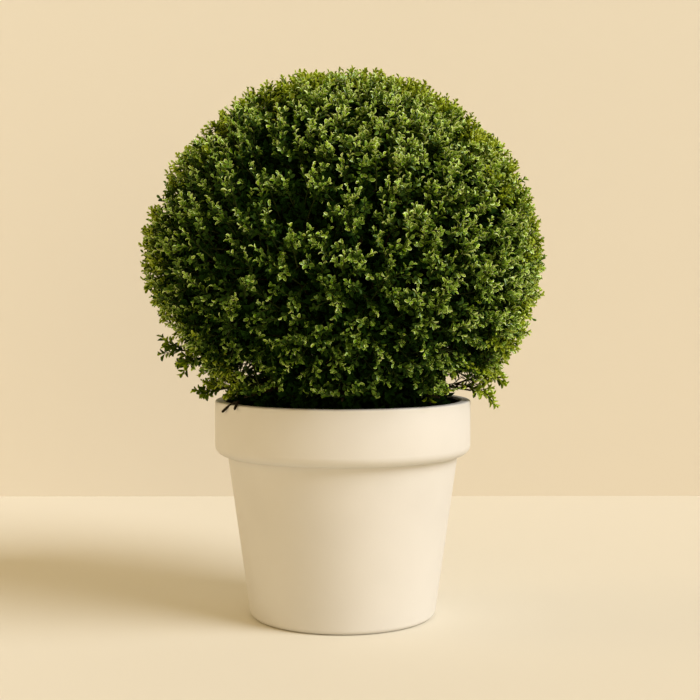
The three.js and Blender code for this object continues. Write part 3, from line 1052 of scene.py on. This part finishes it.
def keptLeaves(roots, ahead, length, isShade, isLoose, random):
    # leaves that end in the outline, over the rim or soil and out of the gaps, and loose ones off the rim
    tips = roots + ahead * length[:, None]
    x, y, z = tips.T
    overSoil = soil["top"] + leafing["soilClearance"]
    keep = outlineShare(tips) < leafing["reach"]
    keep &= z > np.where(isShade, overSoil, skirt["floor"] - leafing["floorOverlap"])
    keep &= clearOfGaps(roots + ahead * length[:, None] * 0.5, length, random)
    offRim = np.hypot(x, y) > pot["rimRadius"] + leafing["rimClearance"]
    return keep | (isLoose & (offRim | (z > potHigh.z + leafing["rimRise"])))


def mirrored(points):
    return [(-x, y) for x, y in points]


def twoHalves(tip, half):
    # two halves that meet on the midrib
    shape = [leafShape["root"], tip] + half + mirrored(half)
    return shape, [(0, 2, 1), (2, 3, 1), (0, 1, 4), (4, 1, 5)]


def paintedGlintRim():
    # the pale edge, a painted glint, from the blade out to the outline
    half = leafShape["edge"] + leafShape["blade"]
    shape = [leafShape["root"], leafShape["bladeTip"], leafShape["tip"]] + half + mirrored(half)
    right = [(0, 3, 5), (3, 6, 5), (3, 4, 6), (4, 1, 6), (4, 2, 1)]
    left = [tuple(k + 4 if k > 2 else k for k in reversed(corners)) for corners in right]
    return shape, right + left


def shadeLeaf():
    half = leafShape["shade"]
    shape = [leafShape["root"]] + half + [leafShape["tip"]] + mirrored(half)[::-1]
    return shape, [(0, k, k + 1) for k in range(1, len(shape) - 1)]


def placeLeaves(shape, corners, roots, ahead, sideways, face, length):
    # copies a flat shape of (across, along) points to every leaf, cupped and with its tip bent back
    x, y = np.array(shape).T
    lift = leafShape["cup"] * (2 * x) ** 2 - leafShape["curl"] * y ** 2
    x = x * leafShape["width"]
    size = length[:, None, None]
    points = roots[:, None] + size * (
        sideways[:, None] * x[:, None] + ahead[:, None] * y[:, None] + face[:, None] * lift[:, None]
    )
    faces = np.array(corners)[None] + len(shape) * np.arange(len(roots))[:, None, None]
    return points.reshape(-1, 3), faces.reshape(-1, 3)


def leafPieces(name, outline, look, chosen, placing):
    # the chosen leaves in one outline and look, in as many pieces as the limit asks
    shape, corners = outline
    count = math.ceil(len(chosen) * len(corners) / pieceLimit)
    for k, group in enumerate(np.array_split(chosen, count)):
        part = placeLeaves(shape, corners, *(v[group] for v in placing))
        piece = joinedMesh(f"{name}_{k + 1}", *part, look)
        finishPiece(piece, "leaves", *masses)
        print(piece.name, len(group), "leaves", len(part[1]), "triangles")


# leaf colours: a spray takes a tone by its place, painted light on the sunny side and painted shade low down
# and in hollows, with random variety, and the steps of tone give each leaf its tint
tints = {
    # name: base colour, roughness, shine, and the colour of the pale edge, a painted glint, on the leaves
    # that show one
    # leavesShade and leavesDeep are painted shade; the paler tints also carry painted light
    "leavesShade": ((0.011, 0.0360, 0.0030), 0.85, 0.05, None),
    "leavesDeep": ((0.028, 0.065, 0.0060), 0.55, 0.08, None),
    "leavesMid": ((0.064, 0.136, 0.0070), 0.36, 0.20, (0.21, 0.325, 0.040)),
    "leavesBright": ((0.132, 0.254, 0.003), 0.26, 0.44, (0.49, 0.650, 0.17)),
    "leavesYoung": ((0.264, 0.430, 0.012), 0.24, 0.50, (0.78, 0.920, 0.40)),
    "leavesMoss": ((0.042, 0.080, 0.0008), 0.55, 0.08, None),
    "leavesOlive": ((0.106, 0.171, 0.0008), 0.36, 0.20, (0.28, 0.380, 0.02)),
    "leavesGold": ((0.243, 0.342, 0.003), 0.28, 0.36, (0.59, 0.72, 0.09)),
}
glintRoughness = 0.24
# tones: painted light and shade by place, depth and twig tip, with random variety
toning = {
    "steps": [-0.25, 0.26, 0.55, 0.82],
    "green": np.array(["leavesShade", "leavesDeep", "leavesMid", "leavesBright", "leavesYoung"]),
    "gold": np.array(["leavesShade", "leavesMoss", "leavesOlive", "leavesGold", "leavesGold"]),
    "middle": 0.475,
    "way": np.array([0.235, -0.02, 0.325]),
    "lowLift": -0.12,
    "lowFrom": -0.2,
    "sunkDrop": 2.0,
    "sunkFrom": 0.03,
    "loose": 0.56,
    "looseSide": 0.30,
    "sprayVariety": 0.14,
    "leafVariety": 0.23,
    "sideDrop": 0.04,
    "tipLift": 0.68,
    "tipFrom": 0.55,
    "depthDrop": 8.0,
    "depthFrom": 0.04,
    "depthMost": 0.3,
    "backFrom": -0.60,
    "backFull": -0.15,
    "backLift": 0.28,
    "backWay": np.array([-0.10, 0.0, -0.28]),
    "backOpen": 0.40,
    "goldShare": 0.85,
}


def sprayTones(shoots, place, back, random):
    # painted light towards the sunny side, painted shade low down and in hollows, and lighter and mostly
    # yellower towards the back as a painted glow of light through the leaves
    tone = toning["middle"] + place @ toning["way"]
    tone += toning["lowLift"] * np.clip(toning["lowFrom"] - place[:, 2], 0, 1)
    tone -= toning["sunkDrop"] * np.clip(depthUnder(shoots[:, 2]) - toning["sunkFrom"], 0, 1)
    tone += back * (toning["backLift"] + place @ toning["backWay"])
    isGold = random.rand(len(shoots)) < toning["goldShare"] * back
    tone += random.normal(scale=toning["sprayVariety"], size=len(shoots))
    # loose sprays: painted light, lighter towards the sunny right
    loose = slice(-len(looseSprays), None)
    tone[loose] = toning["loose"] + toning["looseSide"] * place[loose, 0]
    isGold[loose] = True
    return tone, isGold


def leafTones(sprayTone, back, isOnSide, roots, near, random):
    # paler towards a twig's tip, partly young growth and partly painted light, and painted shade deeper under
    # the outline, though less of it at the back
    variety = random.normal(scale=toning["leafVariety"], size=len(roots))
    tone = sprayTone - toning["sideDrop"] * isOnSide
    tone += toning["tipLift"] * (near - toning["tipFrom"]) + variety
    depth = np.clip(depthUnder(roots) - toning["depthFrom"], 0, toning["depthMost"])
    return tone - toning["depthDrop"] * (1 - toning["backOpen"] * back) * depth


# twigs of the foliage: radius at the root and at the tip, steps and sides
woodSizes = {
    "limbs": (0.0068, 0.0034, 9, 7),
    "branches": (0.0032, 0.0014, 6, 5),
    "links": (0.0013, 0.0010, 3, 3),
    "skirtStems": (0.0033, 0.0012, 7, 6),
    "shadeSprigs": (0.0009, 0.0005, 2, 3),
    "shadeLinks": (0.0011, 0.0009, 2, 3),
    "looseLinks": (0.0015, 0.0012, 6, 5),
    "looseSprays": (0.0013, 0.0009, 6, 5),
}
greenSizes = {
    "shoots": (0.0010, 0.0006, 5, 3),
    "sideTwigs": (0.0007, 0.00045, 2, 3),
}
twigLooks = {
    # near black: the twigs' own dark bark and painted shade inside the ball, also the dead twig's colour
    "twigsDarkAndShaded": {
        "tones": ((0.35, (0.008, 0.006, 0.002)), (0.7, (0.026, 0.018, 0.008))),
        "roughness": 0.9,
        "shine": 0.15,
        "noise": (500, 3, 0.5),
    },
    "greenShoots": {
        "tones": ((0.35, (0.012, 0.022, 0.002)), (0.7, (0.040, 0.058, 0.007))),
        "roughness": 0.6,
        "shine": 0.15,
        "noise": (400, 3, 0.5),
    },
}


def makeTwigs(name, twigs, sizes, material, slotName):
    part = joinParts([twigTubes(twigs[kind], *size) for kind, size in sizes.items()])
    finishPiece(joinedMesh(name, *part, material), slotName, *masses)
    print(name, len(part[1]), "triangles")


def makeLeaves(twigs, parents, place, back, random):
    shoots = twigs["shoots"]
    sprayTone, isGold = sprayTones(shoots, place, back, random)
    leaves = [leavesOn(twigs[kind], *numbers, random) for kind, numbers in leafKinds.items()]
    roots, ahead, sideways, face, length, near = (np.concatenate(v) for v in zip(*leaves))
    # the spray that each leaf belongs to, -1 in the shade
    sprays = [np.arange(len(shoots)), parents, np.full(len(twigs["shadeSprigs"]), -1)]
    spray = np.concatenate([v.repeat(numbers[0]) for v, numbers in zip(sprays, leafKinds.values())])
    isShade = spray < 0
    isLoose = spray >= len(shoots) - len(looseSprays)
    isOnSide = np.repeat([False, True, False], [len(part[0]) for part in leaves])
    tone = leafTones(sprayTone[spray], back[spray], isOnSide, roots, near, random)
    # leaves on the shade sprigs take the near-black painted-shade tint
    level = np.where(isShade, 0, np.digitize(tone, toning["steps"]))
    tint = np.where(isGold[spray], toning["gold"][level], toning["green"][level])
    length = np.where(isLoose, length * leafing["looseScale"], length)
    keep = keptLeaves(roots, ahead, length, isShade, isLoose, random)
    placing = (roots, ahead, sideways, face, length)
    for name, (colour, roughness, shine, glintColour) in tints.items():
        chosen = np.flatnonzero(keep & (tint == name))
        look = newMaterial(name, colour, roughness, shine)
        # a pale edge round the blade is painted highlight
        if glintColour:
            blade = twoHalves(leafShape["bladeTip"], leafShape["blade"])
            leafPieces(name, blade, look, chosen, placing)
            glintLook = newMaterial(name + "Edge", glintColour, glintRoughness, shine)
            leafPieces(name + "Edge", paintedGlintRim(), glintLook, chosen, placing)
        elif name == "leavesShade":
            leafPieces(name, shadeLeaf(), look, chosen, placing)
        else:
            whole = twoHalves(leafShape["tip"], leafShape["edge"])
            leafPieces(name, whole, look, chosen, placing)


def makeFoliage(twigLook):
    random = np.random.RandomState(crown["seed"])
    twigs = growTwigs(random)
    # each spray's place in the ball, and how far it lies towards the back
    place = (twigs["shoots"][:, 2] - crownMiddle) / crownSize
    back = np.clip((place[:, 1] - toning["backFrom"]) / (toning["backFull"] - toning["backFrom"]), 0, 1)
    twigs["sideTwigs"], parents = growSideTwigs(twigs["shoots"], place, back, random)
    makeTwigs("innerTwigs", twigs, woodSizes, twigLook, "bark")
    shootLook = mottledMaterial("greenShoots", twigLooks["greenShoots"])
    makeTwigs("greenShoots", twigs, greenSizes, shootLook, "leaves")
    makeLeaves(twigs, parents, place, back, random)


# a dead forked twig that lies over the rim at the left
deadTwig = {
    "prongs": np.array([
        [(-0.1225, -0.0925, 0.2745), (-0.1330, -0.0870, 0.2735), (-0.1442, -0.0765, 0.2617)],
        [(-0.1235, -0.0935, 0.2742), (-0.1258, -0.0995, 0.2735), (-0.1275, -0.1020, 0.2670)],
    ]),
    "size": (0.0019, 0.00152, 9, 7),  # radius at the root and at the tip, steps and sides
}


def makeDeadTwig(material):
    part = twigTubes(deadTwig["prongs"], *deadTwig["size"])
    finishPiece(joinedMesh("deadTwig", *part, material), "bark")
    print("dead twig", len(part[1]), "triangles")


makeCamera()
makeBackdrop()
makeLights()
makePot()
makeSoil()
makeWood()
twigLook = mottledMaterial("twigsDarkAndShaded", twigLooks["twigsDarkAndShaded"])
makeFoliage(twigLook)
makeDeadTwig(twigLook)
